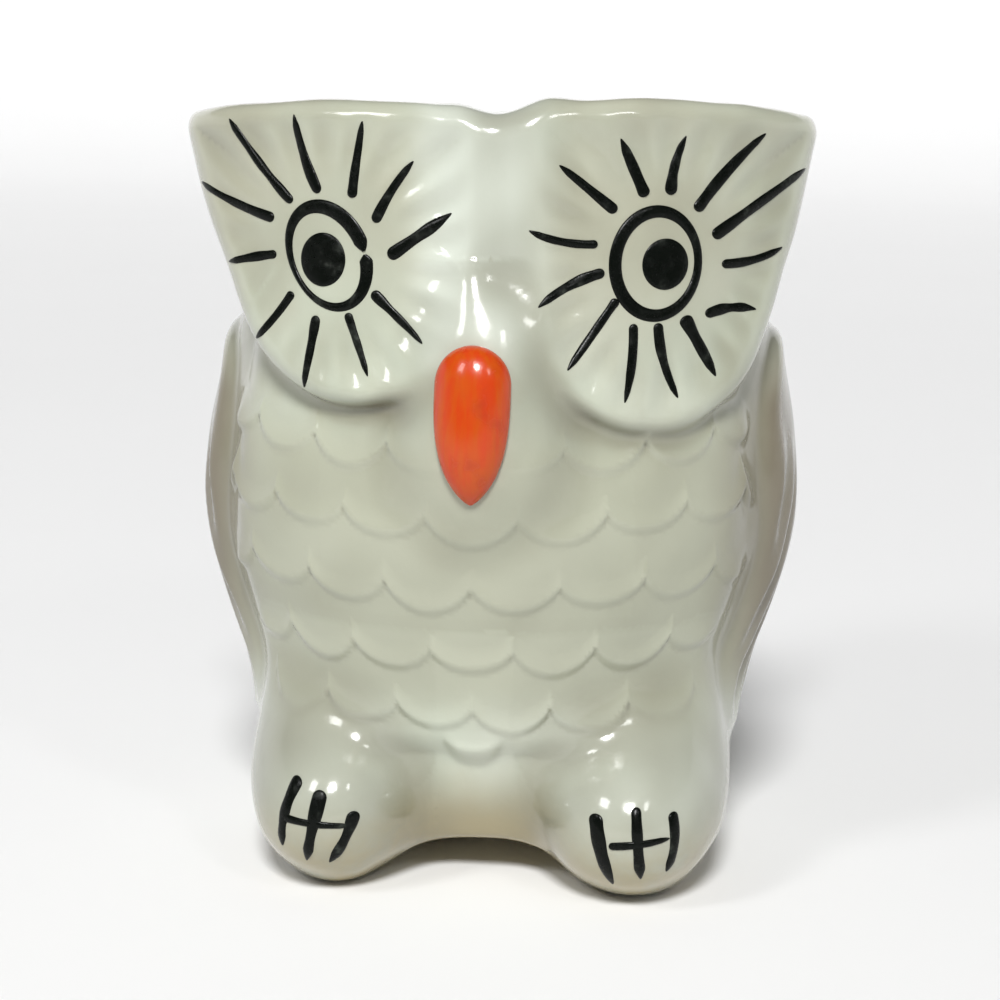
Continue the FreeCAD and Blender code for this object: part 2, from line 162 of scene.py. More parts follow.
# The body's half width, half depth and how far it leans forward, at these levels above the table.
BODY_LEVELS = (-6, 0, 3, 7, 14, 24, 34, 44, 54, 63, 74, 82, 92)
BODY_HALF_WIDTH = curve_through(
    BODY_LEVELS, (9.0, 18.8, 23.0, 25.8, 27.6, 29.6, 32.8, 34.2, 33.2, 31.8, 30.0, 28.6, 25.0)
)
BODY_HALF_DEPTH = curve_through(
    BODY_LEVELS, (9.0, 18.6, 23.0, 25.6, 27.2, 29.6, 32.2, 33.6, 32.2, 30.4, 29.6, 28.2, 24.6)
)
BODY_SHIFT = 0.35
BODY_EDGES = {"crown": 9.0, "table": 1.2}
BODY_FORWARD = curve_through(BODY_LEVELS, (0, 0, 0.5, 1.2, 2.0, 2.6, 2.8, 2.4, 1.6, 0.8, 0.4, 0.2, 0.0))
CROWN_TOP = 86.4
CROWN_CURVE = 120.0
# Both discs lie on an oval column of this half width, whose half depth shrinks towards the top.
MASK_HALF_WIDTH = 40.0
MASK_DEPTH = curve_through((44, 56, 70, 91), (38.4, 36.6, 34.0, 31.2))
DISC_THICKNESS = 6.5
DISC_RIM_RADIUS = 2.2
DISC_DISH = 0.7
DISC_FLUTES = 22
DISC_FLUTE_DEPTH = 0.15
# Each disc: centre and radius of its round lower part, its inner top corner and the tip of its ear.
DISC_SHAPES = {
    "left": ((16.9, 67.4), 13.6, (2.1, 89.6), (37.4, 88.1)),
    "right": ((16.3, 70.6), 14.1, (2.0, 88.9), (38.5, 87.7)),
}
DISC_TOP_BOW = 1.5
DISC_SIDE_BOW = 0.4
EAR_RADIUS = 2.4
INNER_CORNER_RADIUS = 3.6
DISC_BACK = -1.0
RIDGE_CENTRE = (0.2, -23.2, 72.0)
RIDGE_HALF = (7.4, 10.0, 30.0)
RIDGE_TOP = 88.7
RIDGE_EDGE = 2.8
# The middle of each fan of flutes, across and up.
EYES = {"left": (18.1, 72.6), "right": (-19.7, 72.8)}
# The wing's outline seen from the side: a big circle by the shoulder and a small one by the tip.
WING_SHAPE = ((2.0, 45.5), 17.5, (-6.5, 22.0), 8.5)
WING_RISE = 1.9
WING_FEATHER_WIDTH = 4.4
WING_GROOVE_DEPTH = 0.3
WING_EDGE_RADIUS = 1.6
# The scallops: the level of each row's lowest point, the angle that one takes up, how far its sides curve
# up, how far up it fades out, how proud it stands, and how far round each row reaches, in degrees.
FEATHER_LEVELS = (48.4, 40.8, 32.9, 25.2, 18.0, 15.0)
FEATHER_ANGLE = 16.5
FEATHER_CURVE = 4.6
FEATHER_SPACING = 8.4
FEATHER_HEIGHT = 1.8
FEATHER_REACH = (62, 62, 60, 56, 52, 8)
FEATHER_WAVE = 0.4
FEATHER_THICKNESS = 1.6
FEATHER_STEP = (-0.9, 2.3)
FEATHER_TOP = (55, 61)
# The breast stands this proud of the body, from between these levels and between these angles each side.
APRON_HEIGHT = 1.3
APRON_LEVELS = (14.5, 19.0)
APRON_SIDES = (52, 66)
# The muzzle is one egg with a slimmer one above it, which leads up into the ridge.
MUZZLE_CENTRE = np.array([0.8, -33.6, 52.0])
MUZZLE_HALF = (8.0, 6.0, 9.4)
MUZZLE_TOP_CENTRE = MUZZLE_CENTRE + (0.3, 1.4, 8.3)
MUZZLE_TOP_HALF = (5.4, 6.0, 8.8)
FOOT_CENTRES = {"left": (17.8, -25.0, 9.4), "right": (-16.5, -23.6, 9.4)}
FOOT_HALVES = {"left": (10.3, 13.6, 9.9), "right": (9.6, 13.4, 9.8)}
LEG_CENTRES = {"left": (18.4, -16.5, 14.0), "right": (-17.0, -16.0, 14.0)}
LEG_HALVES = {"left": (10.4, 13.0, 11.0), "right": (9.6, 12.6, 11.0)}
TAIL_CENTRE = (0.0, 22.0, 9.0)
TAIL_HALF = (11.5, 13.0, 16.0)
TAIL_GROOVE_DEPTH = 0.35
TAIL_GROOVE_RADIANS_PER_MM = 1.45
ARCH_CENTRE = (0.6, -20.0, -3.2)
ARCH_HALF = (13.0, 11.0, 7.4)
RING_INNER_RADIUS = 14.5
RING_HEIGHT = 1.2
VENT_RADIUS = 4.0
VENT_DEPTH = 12.0
# How far the glaze fills the corner where a form meets the rest of the casting.
FILLETS = {
    "right_facial_disc": 3.0,
    "left_facial_disc": 4.0,
    "face": 1.8,
    "behind_ears": 4.0,
    "beak_mound": 5.0,
    "wing": 1.2,
    "foot": 6.5,
    "tail": 3.0,
    "arch": 2.5,
    "underside": 0.8,
    "ring": 0.4,
}
WOBBLE = 0.07
# A form has to stand this far out of the body to count as its own piece there.
BODY_LEAD = 0.4


def smooth_body(p):
    """The body and head without any relief: oval sections, a shallow crown and a flat foot."""
    x, y, z = p.T
    width, depth = BODY_HALF_WIDTH(z), BODY_HALF_DEPTH(z)
    x, y = x - BODY_SHIFT, y + BODY_FORWARD(z)
    size = np.sqrt((x / width) ** 2 + (y / depth) ** 2) + 1e-6
    lean = (BODY_HALF_WIDTH(z + 0.5) - width).clip(-1, 1) / 0.5
    side = (size - 1) * np.minimum(width, depth) / np.sqrt(1 + lean**2)
    crown = z - CROWN_TOP + (x * x + y * y) / (2 * CROWN_CURVE)
    return smooth_meet(smooth_meet(side, crown, BODY_EDGES["crown"]), -z, BODY_EDGES["table"])


def mask_distance(p):
    """Distance in front of the curved surface that both facial discs follow."""
    x, y, z = p.T
    depth = MASK_DEPTH(z)
    size = np.sqrt((x / MASK_HALF_WIDTH) ** 2 + (y / depth) ** 2) + 1e-6
    slope = np.sqrt((x / MASK_HALF_WIDTH**2) ** 2 + (y / depth**2) ** 2) + 1e-6 / depth
    return (size - 1) * size / slope


def disc_outline(across, up, side):
    """Distance outside a facial disc: round below, straight sides that open to a top edge with an ear."""
    centre, radius, inner_top, ear = DISC_SHAPES[side]
    inner_low = touching_point(centre, radius, inner_top, 1)
    outer_low = touching_point(centre, radius, ear, -1)
    inner = beyond_side(across, up, inner_top, inner_low, DISC_SIDE_BOW)
    lower = beyond_side(across, up, inner_low, outer_low, DISC_SIDE_BOW)
    outer = beyond_side(across, up, outer_low, ear, DISC_SIDE_BOW)
    top = beyond_side(across, up, ear, inner_top, DISC_TOP_BOW)
    upper = rounded_meet(rounded_meet(top, outer, EAR_RADIUS), inner, INNER_CORNER_RADIUS)
    return np.minimum(np.maximum(upper, lower), np.hypot(across - centre[0], up - centre[1]) - radius)


def facial_disc(p, body, side):
    """A thick shield wrapped round the face, with a round rim and shallow flutes that fan from the eye."""
    q = turned(p, HEAD_TURN)
    outline = disc_outline(q[:, 0] * SIDES[side], q[:, 2], side)
    across, up = q[:, 0] - EYES[side][0], q[:, 2] - EYES[side][1]
    fan = smooth_step(np.hypot(across, up), 8, 13) * smooth_step(-outline, 0.8, 4)
    flutes = DISC_FLUTE_DEPTH * np.cos(np.arctan2(up, across) * DISC_FLUTES) * fan
    front = mask_distance(q) + DISC_DISH * smooth_step(-outline, 0.5, 6.0) - flutes
    shell = np.maximum(front, -front - DISC_THICKNESS)
    return smooth_meet(rounded_meet(outline, shell, DISC_RIM_RADIUS), q[:, 1] - DISC_BACK, 3.0)


def brow_ridge(p, body):
    """The soft ridge that runs down between the discs, level with their tops."""
    q = turned(p, HEAD_TURN)
    return smooth_meet(egg(q, RIDGE_CENTRE, RIDGE_HALF), q[:, 2] - RIDGE_TOP, RIDGE_EDGE)


def beak_mound(p, body):
    """The round muzzle under the ridge that carries the beak."""
    return smooth_join(
        egg(p, MUZZLE_CENTRE, MUZZLE_HALF), egg(p, MUZZLE_TOP_CENTRE, MUZZLE_TOP_HALF), 4.0
    )


def wing(p, body):
    """A folded wing raised from the body, with long feathers pressed into it. Both sides are alike."""
    outline, along, aside = teardrop(p[:, 1], p[:, 2], *WING_SHAPE)
    feathered = smooth_step(along, -4, 8) * smooth_step(-outline, 0, 2)
    grooves = WING_GROOVE_DEPTH * np.cos(aside * 2 * math.pi / WING_FEATHER_WIDTH) * feathered
    return rounded_meet(outline, body - WING_RISE + grooves, WING_EDGE_RADIUS)


def foot(p, body, side):
    """A round bulb that just touches the table, with a short leg that runs up into the belly."""
    return smooth_join(
        egg(p, FOOT_CENTRES[side], FOOT_HALVES[side]), egg(p, LEG_CENTRES[side], LEG_HALVES[side]), 5.0
    )


def tail(p, body):
    """A short fan that slopes from the back down to the table, with grooves between its feathers."""
    grooves = TAIL_GROOVE_DEPTH * np.cos(p[:, 0] * TAIL_GROOVE_RADIANS_PER_MM) * smooth_step(p[:, 1], 26, 32)
    return egg(p, TAIL_CENTRE, TAIL_HALF) + grooves


# Each form takes the points and the smooth body's field there, and gives its own field.
FORMS = {
    "left_facial_disc": partial(facial_disc, side="left"),
    "right_facial_disc": partial(facial_disc, side="right"),
    "brow_ridge": brow_ridge,
    "beak_mound": beak_mound,
    "left_wing": wing,
    "right_wing": wing,
    "left_foot": partial(foot, side="left"),
    "right_foot": partial(foot, side="right"),
    "tail": tail,
}
CASTING_NODES = ["body_casting", *FORMS, *(f"breast_feather_row_{row}" for row in range(1, 7))]
LABELS = {node: number for number, node in enumerate(CASTING_NODES, start=1)}

# A form is worked out only inside the box of its CAD node with this much added. Elsewhere it counts as FAR
# away, which is as far as the widest fillet reaches.
BOX_PADDING = 12.0
FAR = 6.5
# The scallop relief is worked out only this far inside and outside the smooth body.
SKIN = (-3, 8)


def padded_box(node):
    """A CAD node's box in millimetres from the owl's axis, with the padding added."""
    low, high = (np.array(corner) / MM - (0, AXIS_Y, 0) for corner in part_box(node))
    return low - BOX_PADDING, high + BOX_PADDING


BOXES = {node: padded_box(node) for node in FORMS}


def form_field(node, p, body):
    """A form's distance field near its CAD node, and FAR elsewhere."""
    low, high = BOXES[node]
    inside = np.all((p > low) & (p < high), axis=1)
    field = np.full(len(p), FAR)
    field[inside] = FORMS[node](p[inside], body[inside])
    return field


def feathers(p):
    """Height of the scallop relief, and the row that each point belongs to."""
    x, y, z = p.T
    angle = np.degrees(np.arctan2(x, -(y + BODY_FORWARD(z))))
    aside = np.abs(angle)
    height = APRON_HEIGHT * smooth_step(z, *APRON_LEVELS) * (1 - smooth_step(aside, *APRON_SIDES))
    rows = np.zeros(len(p), int)
    for number, (level, widest) in enumerate(zip(FEATHER_LEVELS, FEATHER_REACH), start=1):
        place = angle / FEATHER_ANGLE - 0.5 * (number % 2)
        across = place - np.round(place)
        wave = FEATHER_WAVE * np.sin(number * 2.1 + np.round(place) * 1.7) * (1 - (2 * across) ** 2)
        curve = FEATHER_CURVE * (1 - np.sqrt(1 - (1.8 * across) ** 2))
        up = z - level - wave - curve - 0.15 * (angle / FEATHER_ANGLE) ** 2
        lobe = smooth_step(up, *FEATHER_STEP) * (1 - 0.9 * smooth_step(up, 0.5, FEATHER_SPACING))
        lobe = lobe * (1 - smooth_step(aside, widest - 5, widest + 5)) * (1 - smooth_step(z, *FEATHER_TOP))
        covered = (up > 0.5) & (aside < widest) & (z < 60)
        rows = np.where(covered & (rows == 0), number, rows)
        height = smooth_peak(height, FEATHER_HEIGHT * lobe, 0.4)
    return height, rows


def hand_wobble(p):
    """The slight unevenness of a slip-cast surface under thick glaze."""
    x, y, z = p.T
    sideways = np.sin(0.52 * x + 1.7 * np.sin(0.23 * z))
    upwards = np.sin(0.47 * z + 1.3 * np.sin(0.31 * (x + y)))
    return WOBBLE * (sideways + upwards)


def casting(p, with_labels=False):
    """The whole glazed casting: its distance field and, if asked, the piece that each point is in."""
    smooth = smooth_body(p)
    relief, rows = np.zeros(len(p)), np.zeros(len(p), int)
    skin = (smooth > SKIN[0]) & (smooth < SKIN[1])
    relief[skin], rows[skin] = feathers(p[skin])
    body = smooth - relief
    fields = {node: form_field(node, p, smooth) for node in FORMS}
    face = smooth_join(fields["right_facial_disc"], fields["brow_ridge"], FILLETS["right_facial_disc"])
    face = smooth_join(face, fields["left_facial_disc"], FILLETS["left_facial_disc"])
    behind_ears = smooth_step(p[:, 1], -20, -8) * smooth_step(p[:, 2], 66, 74)
    whole = smooth_join(body, face, FILLETS["face"] + FILLETS["behind_ears"] * behind_ears)
    whole = smooth_join(whole, fields["beak_mound"], FILLETS["beak_mound"])
    for side in SIDES:
        whole = smooth_join(whole, fields[f"{side}_wing"], FILLETS["wing"])
        whole = smooth_join(whole, fields[f"{side}_foot"], FILLETS["foot"])
    whole = smooth_join(whole, fields["tail"], FILLETS["tail"])
    whole = smooth_meet(whole, -egg(p, ARCH_CENTRE, ARCH_HALF), FILLETS["arch"])
    whole = smooth_meet(whole + hand_wobble(p), -p[:, 2], FILLETS["underside"])
    from_axis = np.hypot(p[:, 0], p[:, 1])
    recess = np.maximum(from_axis - RING_INNER_RADIUS, p[:, 2] - RING_HEIGHT)
    vent = np.maximum(from_axis - VENT_RADIUS, p[:, 2] - VENT_DEPTH)
    whole = smooth_meet(whole, -np.minimum(recess, vent), FILLETS["ring"])
    if not with_labels:
        return whole
    order = np.array([LABELS[node] for node in ("body_casting", *FORMS)])
    label = order[np.array([body - BODY_LEAD, *fields.values()]).argmin(0)]
    feathered = (label == LABELS["body_casting"]) & (body > -FEATHER_THICKNESS) & (rows > 0)
    label = np.where(feathered, LABELS["breast_feather_row_1"] - 1 + rows, label)
    return whole, np.where(whole > 0, 0, label)


# ---------------------------------------------------------------- from field to meshes

CORNERS_AROUND = np.array([(1, 1, 1), (1, -1, -1), (-1, 1, -1), (-1, -1, 1)])
GRID_LOW = np.array([-40.0, -42.0, -1.6])
GRID_HIGH = np.array([40.0, 38.0, 91.6])
CHUNK = 400_000
# The walls between pieces stay at least this share of a cell below the outer surface, so that none shows.
INNER_DEPTH = 0.45
ENCLOSURE_REACHES = (0.8, 2.0, 4.0)


def slope_at(p, step=0.04):
    """The field and its slope at each point, from four points close around it."""
    values = [casting(p + corner * step) for corner in CORNERS_AROUND]
    slope = sum(np.outer(value, corner) for value, corner in zip(values, CORNERS_AROUND)) / (4 * step)
    return sum(values) / 4, slope


def unit(vectors):
    """The vectors with length one."""
    return vectors / np.maximum(np.linalg.norm(vectors, axis=-1, keepdims=True), 1e-9)


def pulled_to_surface(p):
    """The points moved along the field's slope on to the surface of the casting."""
    value, slope = slope_at(p)
    move = value / np.maximum((slope**2).sum(1), 0.1)
    return p - slope * np.clip(move, -CELL, CELL)[:, None]


def sunk_below_surface(p):
    """The points with those too close to the surface of the casting moved down below it."""
    value, slope = slope_at(p)
    move = np.clip(value + INNER_DEPTH * CELL, 0, CELL) / np.maximum((slope**2).sum(1), 0.1)
    return p - slope * move[:, None]


def labelled_grid():
    """The piece that each point of an even grid is in, and the grid's places along x, y and z."""
    axes = [np.arange(low, high, CELL) for low, high in zip(GRID_LOW, GRID_HIGH)]
    grid = np.stack(np.meshgrid(*axes, indexing="ij"), -1).reshape(-1, 3)
    labels = [casting(grid[i : i + CHUNK], True)[1].astype(np.int8) for i in range(0, len(grid), CHUNK)]
    return np.concatenate(labels).reshape([len(a) for a in axes]), axes


def surface_nets():
    """Cuts the casting into closed pieces that meet face to face.

    Returns the points, the faces, the two pieces that each face parts, and which points are on the surface.
    """
    labels, axes = labelled_grid()
    corner = [slice(0, -1), slice(1, None)]
    blocks = [labels[corner[i & 1], corner[i >> 1 & 1], corner[i >> 2 & 1]] for i in range(8)]
    lowest, highest = np.minimum.reduce(blocks), np.maximum.reduce(blocks)
    active = lowest != highest
    index = -np.ones(active.shape, np.int64)
    index[active] = np.arange(active.sum())
    points = np.argwhere(active) * CELL + [a[0] + CELL / 2 for a in axes]
    faces, owners = [], []
    for axis in range(3):
        first = np.take(labels, range(labels.shape[axis] - 1), axis)
        second = np.take(labels, range(1, labels.shape[axis]), axis)
        crossing = np.argwhere(first != second)
        across, up = (axis + 1) % 3, (axis + 2) % 3
        around = []
        for step_across, step_up in ((-1, -1), (0, -1), (0, 0), (-1, 0)):
            cell = crossing.copy()
            cell[:, across] += step_across
            cell[:, up] += step_up
            around.append(index[tuple(cell.T)])
        faces.append(np.column_stack(around))
        owners.append(np.column_stack([first[tuple(crossing.T)], second[tuple(crossing.T)]]))
    return points, np.vstack(faces), np.vstack(owners), lowest[active] == 0


def relaxed(points, faces, owners, on_surface, rounds=3):
    """Evens out the mesh: points on the outer surface stay on it, and the rest stay a little below it."""
    outer = (owners == 0).any(1)
    for chosen, movable in ((outer, on_surface), (~outer, ~on_surface)):
        pairs = np.vstack([faces[chosen][:, [i, (i + 1) % 4]] for i in range(4)])
        pairs = np.vstack([pairs, pairs[:, ::-1]])
        count = np.bincount(pairs[:, 0], minlength=len(points))
        moving = movable & (count > 0)
        for _ in range(rounds):
            total = [np.bincount(pairs[:, 0], points[pairs[:, 1], axis], len(points)) for axis in range(3)]
            mean = np.column_stack(total)[moving] / count[moving, None]
            points[moving] = 0.4 * points[moving] + 0.6 * mean
            if movable is on_surface:
                points[moving] = pulled_to_surface(points[moving])
    points[on_surface] = pulled_to_surface(points[on_surface])
    points[~on_surface] = sunk_below_surface(points[~on_surface])
    return points


def enclosure(points, normals):
    """How enclosed each point is, from 0 in the open to 1 deep in a crease."""
    gaps = [casting(points + normals * reach) / reach for reach in ENCLOSURE_REACHES]
    return sum(np.clip(1 - gap, 0, 1) / len(gaps) for gap in gaps)


def sunk_wedges(points, walls):
    """Gives each wall face a middle point below the surface: all the points, and the faces as triangles."""
    middles = sunk_below_surface(points[walls].mean(1))
    numbers = len(points) + np.arange(len(middles))
    sides = [np.column_stack([walls[:, i], walls[:, (i + 1) % 4], numbers]) for i in range(4)]
    return np.vstack([points, middles]), np.stack(sides, 1).reshape(-1, 3)


def own_faces(number, faces, owners):
    """The faces that close one piece, all turned outwards."""
    return np.vstack([faces[owners[:, 0] == number], faces[owners[:, 1] == number][:, ::-1]])


def new_piece(name, node, slot, material, points, faces, normals=None):
    """A smooth mesh that stands for a CAD node and rides with the owl."""
    mesh = bpy.data.meshes.new(name)
    mesh.from_pydata(((points + (0, AXIS_Y, 0)) * MM).tolist(), [], faces)
    mesh.polygons.foreach_set("use_smooth", [True] * len(mesh.polygons))
    if normals is not None:
        mesh.normals_split_custom_set_from_vertices(normals)
    mesh.materials.append(material)
    piece = bpy.data.objects.new(name, mesh)
    bpy.context.scene.collection.objects.link(piece)
    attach(piece, "root")
    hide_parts(node)
    return piece


def build_casting(material):
    """Every piece of the glazed casting as a closed mesh."""
    points, faces, owners, on_surface = surface_nets()
    points = relaxed(points, faces, owners, on_surface)
    # A wall face with three or more corners on the surface would lie along it and show.
    lying = (owners > 0).all(1) & (on_surface[faces].sum(1) > 2)
    points, wedges = sunk_wedges(points, faces[lying])
    wedge_owners = np.repeat(owners[lying], 4, axis=0)
    faces, owners = faces[~lying], owners[~lying]
    normals = unit(slope_at(points)[1])
    enclosed = enclosure(points, normals)
    for node, number in LABELS.items():
        quads, triangles = own_faces(number, faces, owners), own_faces(number, wedges, wedge_owners)
        used = np.unique(np.concatenate([quads.ravel(), triangles.ravel()]))
        place = np.zeros(len(points), int)
        place[used] = np.arange(len(used))
        own = place[quads].tolist() + place[triangles].tolist()
        piece = new_piece(f"glazed_{node}", node, "white_glaze", material, points[used], own, normals[used])
        shade = piece.data.attributes.new("enclosed", "FLOAT", "POINT")
        shade.data.foreach_set("value", enclosed[used].astype(np.float32))


# ---------------------------------------------------------------- beak and brush strokes

BEAK_TIP = (0.1, 46.9)
BEAK_LENGTH = 17.2
BEAK_HALF_WIDTH = 4.05
BEAK_HEIGHT = 2.7
BEAK_ROUND_SHARE = 0.25
PAINT_HEIGHT = 0.22
PAINT_SINK = 0.25
# Each oval: centre across and up, half width and half height, and how far its top leans to the owl's right.
RING_OUTER = {"left": ((19.25, 72.6), (5.1, 6.35), 0), "right": ((-16.9, 72.9), (4.85, 6.35), 28)}
RING_INNER = {"left": ((19.5, 72.6), (3.95, 5.0), 0), "right": ((-17.3, 72.6), (3.7, 5.2), 30)}
PUPILS = {"left": ((20.3, 72.5), (2.5, 2.8)), "right": ((-17.6, 72.4), (2.65, 2.95))}
# The direction of the break in a ring and how much of a turn is painted, in degrees.
RING_BREAK = {"right": -16}
RING_SWEEP = 356
RING_POINTS = 90
# Each lash: direction and distance of its root from the ring's centre, the same for its tip, its half
# width, and how far its middle bows to the left of its way out.
LASHES = {
    "right": [
        (151, 7.7, 157, 18.4, 0.56, 0.3),
        (129, 7.2, 131, 19.3, 0.53, 0.3),
        (101, 6.9, 106, 15.9, 0.58, 0.4),
        (68, 6.9, 76, 15.2, 0.56, 0.1),
        (36, 6.5, 48, 14.2, 0.56, 0.3),
        (1, 6.9, 20, 14.8, 0.74, 0.0),
        (-36, 6.4, -39, 14.3, 0.54, 0.0),
        (-69, 6.6, -69, 13.8, 0.47, 0.0),
        (-101, 6.8, -100, 14.9, 0.52, 0.0),
        (-135, 6.1, -132, 13.3, 0.47, 0.2),
        (-178, 6.4, -173, 12.8, 0.52, -0.1),
    ],
    "left": [
        (128, 7.2, 135, 15.1, 0.58, 0.0),
        (100, 7.4, 107, 14.2, 0.65, 0.0),
        (79, 7.6, 78, 14.2, 0.62, 0.4),
        (53, 7.1, 50, 18.4, 0.69, 0.4),
        (24, 6.8, 31, 19.4, 0.67, 0.0),
        (-2, 7.3, 5, 14.2, 0.52, -0.5),
        (-46, 8.1, -26, 12.6, 0.58, 0.5),
        (-61, 6.7, -61, 14.4, 0.67, 0.0),
        (-86, 6.5, -79, 15.0, 0.52, -0.5),
        (-109, 6.9, -101, 15.3, 0.52, 0.3),
        (-137, 5.6, -129, 14.6, 0.52, 0.0),
        (-171, 5.6, -160, 13.3, 0.58, -0.5),
        (161, 6.7, 165, 14.2, 0.47, 0.5),
    ],
}
# Each claw stroke: start and end across and up, half width, and bow to the left of its way down.
CLAW_STROKES = {
    "right": [
        (-19.4, 14.2, -21.4, 6.0, 0.60, -0.6),
        (-16.7, 13.2, -18.5, 4.6, 0.74, 0.0),
        (-12.9, 10.9, -15.9, 4.5, 0.66, 0.4),
        (-21.1, 9.7, -13.4, 9.3, 0.45, 0.0),
    ],
    "left": [
        (14.3, 12.1, 16.4, 3.4, 0.80, -0.3),
        (18.8, 13.1, 19.5, 4.5, 0.66, 0.0),
        (22.8, 12.3, 22.3, 5.2, 0.52, 0.6),
        (15.9, 8.7, 22.6, 9.5, 0.45, 0.0),
    ],
}
brush_random = np.random.default_rng(SEED)


def met_from_front(across, up):
    """Where lines that come straight from the front meet the casting."""
    p = np.column_stack([across, np.full(len(across), -48.0), up])
    for _ in range(40):
        p[:, 1] += 0.7 * casting(p)
    return p


def even_shares(count):
    """Shares from 0 to 1, closer together near both ends."""
    return 0.5 - 0.5 * np.cos(np.linspace(0, math.pi, count))


def raised_mesh(line, half_width, height, sink, closed=False):
    """A domed band on the casting, along a line seen from the front: points and faces of a closed mesh."""
    if closed:
        along = np.roll(line, -1, axis=0) - np.roll(line, 1, axis=0)
    else:
        along = np.gradient(line, axis=0)
    along = unit(along)
    sideways = np.column_stack([-along[:, 1], along[:, 0]])
    shares = np.sin(np.linspace(-math.pi / 2, math.pi / 2, 9 if half_width.max() < 2 else 21))
    flat = line[:, None] + sideways[:, None] * (half_width[:, None] * shares)[..., None]
    under = met_from_front(flat[..., 0].ravel(), flat[..., 1].ravel())
    normals = unit(slope_at(under)[1])
    dome = (height[:, None] * np.sqrt(1 - shares**2)).reshape(-1, 1)
    rows, columns = len(line), len(shares)
    top = np.arange(rows * columns).reshape(rows, columns)
    if closed:
        top = np.vstack([top, top[:1]])
    bottom = top + rows * columns
    faces = []
    for grid, way in ((top, 1), (bottom, -1)):
        quads = np.stack([grid[:-1, :-1], grid[1:, :-1], grid[1:, 1:], grid[:-1, 1:]], -1).reshape(-1, 4)
        faces.append(quads[:, ::way])
    edges = [np.column_stack([top[:, 0], bottom[:, 0]]), np.column_stack([bottom[:, -1], top[:, -1]])]
    if not closed:
        edges += [np.column_stack([bottom[0], top[0]]), np.column_stack([top[-1], bottom[-1]])]
    for edge in edges:
        faces.append(np.column_stack([edge[:-1, 0], edge[:-1, 1], edge[1:, 1], edge[1:, 0]]))
    return np.vstack([under + normals * dome, under - normals * sink]), np.vstack(faces).tolist()


def oval(centre, half, lean, angles):
    """Points on an oval that leans over to the owl's right."""
    c, s = math.cos(math.radians(lean)), math.sin(math.radians(lean))
    across, up = half[0] * np.cos(angles), half[1] * np.sin(angles)
    return np.column_stack([centre[0] + c * across - s * up, centre[1] + s * across + c * up])


def uneven(shares, amount):
    """The small changes in width of a brush stroke."""
    knots = np.linspace(0, 1, 7)
    return 1 + curve_through(knots, brush_random.normal(0, amount, len(knots)))(shares)


def brush_stroke(start, end, half_width, bow, tip_share=0.58):
    """A stroke that starts round and full and thins towards its end."""
    start, end = np.array(start), np.array(end)
    length = np.linalg.norm(end - start)
    left = np.array([start[1] - end[1], end[0] - start[0]]) / length
    shares = even_shares(26)
    line = start + (end - start) * shares[:, None] + left * (bow * 4 * shares * (1 - shares))[:, None]
    root = np.sqrt(1 - (1 - np.clip(shares * length / half_width, 0, 1)) ** 2)
    tip = np.clip((1 - shares) * length / (2.2 * half_width), 0, 1) ** 0.6
    taper = 1 - (1 - tip_share) * shares**1.6
    width = half_width * taper * root * tip * uneven(shares, 0.08) + 0.03
    return raised_mesh(line, width, PAINT_HEIGHT * (width / half_width).clip(0, 1) ** 0.5, PAINT_SINK)


def joined(meshes):
    """Several meshes as one list of points and one of faces."""
    starts = np.cumsum([0] + [len(points) for points, _ in meshes[:-1]])
    faces = [[start + i for i in face] for start, (_, faces) in zip(starts, meshes) for face in faces]
    return np.vstack([points for points, _ in meshes]), faces


def lash_mesh(side):
    """The lashes round one eye."""
    centre = np.array(RING_OUTER[side][0])
    strokes = []
    for root_angle, root_reach, tip_angle, tip_reach, half_width, bow in LASHES[side]:
        root, tip = math.radians(root_angle), math.radians(tip_angle)
        start = centre + root_reach * np.array([math.cos(root), math.sin(root)])
        end = centre + tip_reach * np.array([math.cos(tip), math.sin(tip)])
        strokes.append(brush_stroke(start, end, half_width, bow))
    return joined(strokes)


def ring_mesh(side):
    """The painted oval round one eye, thicker on one side, with a break where the brush stopped short."""
    if side in RING_BREAK:
        start = math.radians(RING_BREAK[side] + (360 - RING_SWEEP) / 2)
        angles = start + even_shares(RING_POINTS) * math.radians(RING_SWEEP)
    else:
        angles = np.linspace(0, 2 * math.pi, RING_POINTS, endpoint=False)
    outer, inner = oval(*RING_OUTER[side], angles), oval(*RING_INNER[side], angles)
    half_width = np.linalg.norm(outer - inner, axis=1) / 2
    if side in RING_BREAK:
        shares = even_shares(RING_POINTS)
        first_end = np.clip(shares / 0.03, 0.08, 1) ** 0.5
        last_end = np.clip((1 - shares) / 0.02, 0.08, 1) ** 0.5
        half_width = half_width * first_end * last_end
    height = np.full(len(angles), PAINT_HEIGHT)
    return raised_mesh((outer + inner) / 2, half_width, height, PAINT_SINK, closed=side not in RING_BREAK)


def pupil_mesh(side):
    """The solid painted oval in the middle of one eye."""
    centre, half = PUPILS[side]
    shares = even_shares(40)
    rise = shares * 2 - 1
    line = np.column_stack([np.full(len(rise), centre[0]), centre[1] + rise * half[1]])
    profile = np.sqrt(1 - rise**2)
    return raised_mesh(line, half[0] * profile + 0.02, 1.4 * PAINT_HEIGHT * profile**0.5, PAINT_SINK)


def claw_mesh(side):
    """The three claws of one foot and the bar painted across them."""
    strokes = [
        brush_stroke((x, z), (end_x, end_z), half_width, bow, tip_share=0.7)
        for x, z, end_x, end_z, half_width, bow in CLAW_STROKES[side]
    ]
    return joined(strokes)


